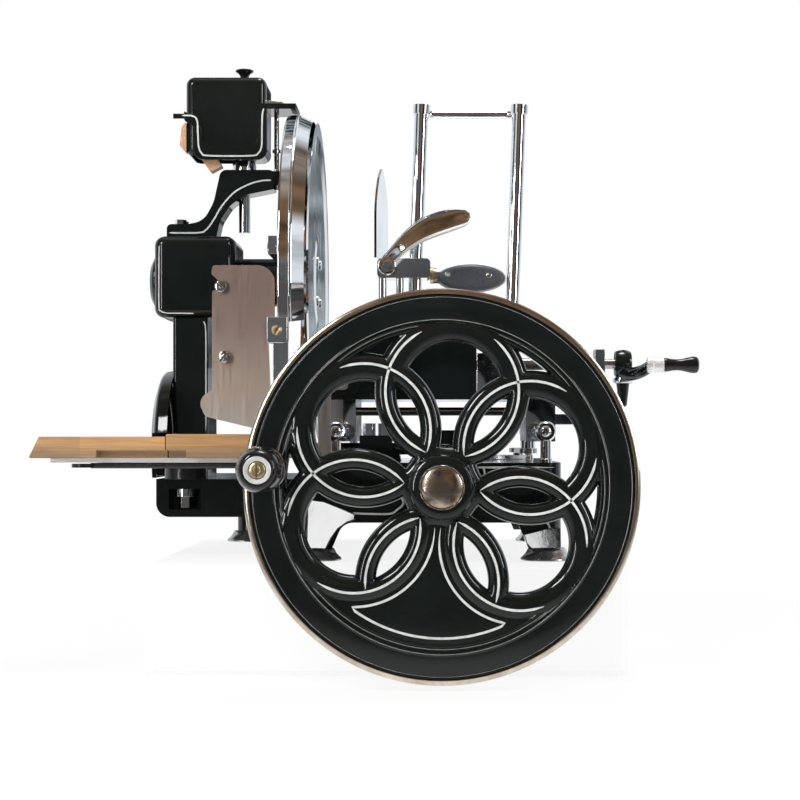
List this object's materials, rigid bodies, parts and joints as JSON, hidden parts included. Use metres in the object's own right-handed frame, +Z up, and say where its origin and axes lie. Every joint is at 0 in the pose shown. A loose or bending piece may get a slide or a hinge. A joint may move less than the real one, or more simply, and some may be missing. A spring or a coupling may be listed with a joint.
{
  "type": "hand crank meat slicer",
  "caption": "Flywheel meat slicer: a hand-turned wheel spins a round blade and drives a sliding table, with a screw feed, toothed clamp, sharpener and wooden board.",
  "frame": {"origin": "on the plane under the feet, where the vertical plane of the flywheel shaft crosses the vertical plane of the blade shaft", "axes": "+Z up, -Y towards the operator at the flywheel, +X to the operator's right"},
  "size_m": [0.5294, 0.4947, 0.4846],
  "materials": {
    "black_enamel": "deep gloss black enamel over cast iron",
    "foot_metal": "grey enamel",
    "chrome": "bright plated",
    "blade_steel": "mirror ground",
    "satin_stainless": "satin",
    "polished_band": "polished nickel with a warm patina",
    "machined_steel": "machined, oiled",
    "black_steel": "black, semi gloss",
    "bronze": "machined",
    "bakelite": "polished black",
    "laminated_wood": "oiled",
    "abrasive": "matt grit"
  },
  "bodies": {
    "root": {"base_casting": "black_enamel", "feet": "foot_metal", "front_bearing": "black_enamel", "gear_cover": "black_enamel", "shaft_pedestal": "black_enamel", "bronze_bushes": "bronze", "guide_rods": "chrome", "column_casting": "black_enamel", "blade_housing": "black_enamel", "housing_cap": "black_enamel", "lower_round_cover": "black_enamel", "drive_chain": "machined_steel", "guard_ring": "chrome", "ring_arm": "black_enamel", "front_guard": "satin_stainless", "swan_neck_arm": "black_enamel", "deflector_plate": "satin_stainless", "deflector_studs": "chrome", "board_rails": "black_steel", "frame_screws": "chrome"},
    "flywheel": {"flywheel": "black_enamel", "rim_band": "polished_band", "flywheel_shaft": "machined_steel", "hub_cap": "polished_band", "knob_spindle": "chrome", "shaft_gears": "machined_steel"},
    "crank_knob": {"knob_barrel": "bakelite"},
    "cross_shaft": {"cross_shaft": "machined_steel", "cross_gear": "machined_steel"},
    "crank": {"crank_disc": "machined_steel", "crank_gear": "machined_steel"},
    "connecting_rod": {"connecting_rod": "machined_steel"},
    "blade": {"blade": "blade_steel", "blade_flange": "machined_steel", "blade_shaft": "machined_steel", "blade_screws": "chrome"},
    "carriage": {"carriage_shoes": "black_enamel", "carriage_rods": "chrome", "meat_table": "black_enamel", "table_plates": "satin_stainless", "screw_bracket": "black_enamel"},
    "feed": {"feed_slide": "chrome", "clamp_posts": "chrome"},
    "clamp": {"clamp_body": "chrome", "clamp_plate": "chrome", "grip_tang": "chrome", "grip_scales": "bakelite"},
    "clamp_lever": {"clamp_lever": "chrome"},
    "feed_screw": {"feed_screw": "machined_steel", "feed_crank": "black_steel"},
    "feed_grip": {"feed_grip": "bakelite"},
    "sharpener": {"sharpener_body": "black_enamel", "sharpener_posts": "chrome", "sharpener_cradle": "black_enamel"},
    "sharpener_knob": {"sharpener_knob": "bakelite"},
    "grinding_stone": {"grinding_stone": "abrasive"},
    "deburring_stone": {"deburring_stone": "abrasive"},
    "board": {"receiving_board": "laminated_wood", "board_leaf": "laminated_wood", "board_strips": "satin_stainless"}
  },
  "joints": [
    {"name": "flywheel_spin", "type": "hinge", "parent": "root", "child": "flywheel", "pos_m": [0, 0, 0.0604], "axis": [0, 1, 0], "continuous": true},
    {"name": "crank_knob_spin", "type": "hinge", "parent": "flywheel", "child": "crank_knob", "pos_m": [-0.12432, -0.29, 0.07347], "axis": [0, 1, 0], "continuous": true},
    {"name": "cross_shaft_spin", "type": "hinge", "parent": "root", "child": "cross_shaft", "pos_m": [-0.1, 0, 0.08586], "axis": [1, 0, 0], "continuous": true},
    {"name": "crank_disc_spin", "type": "hinge", "parent": "root", "child": "crank", "pos_m": [0.03182, 0.1, 0.07], "axis": [0, 0, 1], "continuous": true},
    {"name": "blade_spin", "type": "hinge", "parent": "root", "child": "blade", "pos_m": [-0.16, 0, 0.2252], "axis": [1, 0, 0], "continuous": true},
    {"name": "carriage_slide", "type": "slide", "parent": "root", "child": "carriage", "axis": [0, 1, 0], "range_m": [-0.028, 0.05]},
    {"name": "connecting_rod_swing", "type": "hinge", "parent": "carriage", "child": "connecting_rod", "pos_m": [0.072, 0, 0.084], "axis": [0, 0, 1], "range_deg": [0, 47]},
    {"name": "feed_screw_turn", "type": "hinge", "parent": "carriage", "child": "feed_screw", "pos_m": [0.02, 0, 0.157], "axis": [1, 0, 0], "range_deg": [-1440, 1620]},
    {"name": "feed_slide_travel", "type": "slide", "parent": "carriage", "child": "feed", "axis": [1, 0, 0], "range_m": [-0.04, 0.045]},
    {"name": "feed_grip_spin", "type": "hinge", "parent": "feed_screw", "child": "feed_grip", "pos_m": [0.195, -0.045, 0.1546], "axis": [1, 0, 0], "continuous": true},
    {"name": "clamp_height", "type": "slide", "parent": "feed", "child": "clamp", "axis": [0.0366, 0, 0.9993], "range_m": [0, 0.11]},
    {"name": "clamp_lever_lift", "type": "hinge", "parent": "clamp", "child": "clamp_lever", "pos_m": [-0.047, 0.032, 0.242], "axis": [0, -1, 0], "range_deg": [0, 36]},
    {"name": "sharpener_lift", "type": "slide", "parent": "root", "child": "sharpener", "axis": [0, 0, 1], "range_m": [0, 0.03]},
    {"name": "sharpener_press", "type": "slide", "parent": "sharpener", "child": "sharpener_knob", "axis": [0, 0, -1], "range_m": [0, 0.004], "stiffness_N_per_m": 600, "springref_m": -0.003},
    {"name": "grinding_stone_spin", "type": "hinge", "parent": "sharpener", "child": "grinding_stone", "pos_m": [-0.2, -0.0115, 0.35], "axis": [1, 0, 0], "continuous": true},
    {"name": "deburring_stone_spin", "type": "hinge", "parent": "sharpener", "child": "deburring_stone", "pos_m": [-0.2, 0.0115, 0.35], "axis": [1, 0, 0], "continuous": true},
    {"name": "board_slide", "type": "slide", "parent": "root", "child": "board", "axis": [-1, 0, 0], "range_m": [0, 0.15]}
  ],
  "couplings": [
    {"joint": "cross_shaft_spin", "follows": "flywheel_spin", "ratio": -2},
    {"joint": "crank_disc_spin", "follows": "flywheel_spin", "ratio": 0.5},
    {"joint": "blade_spin", "follows": "flywheel_spin", "ratio": -2},
    {"joint": "feed_slide_travel", "follows": "feed_screw_turn", "m_per_rad": 0.0015915}
  ]
}
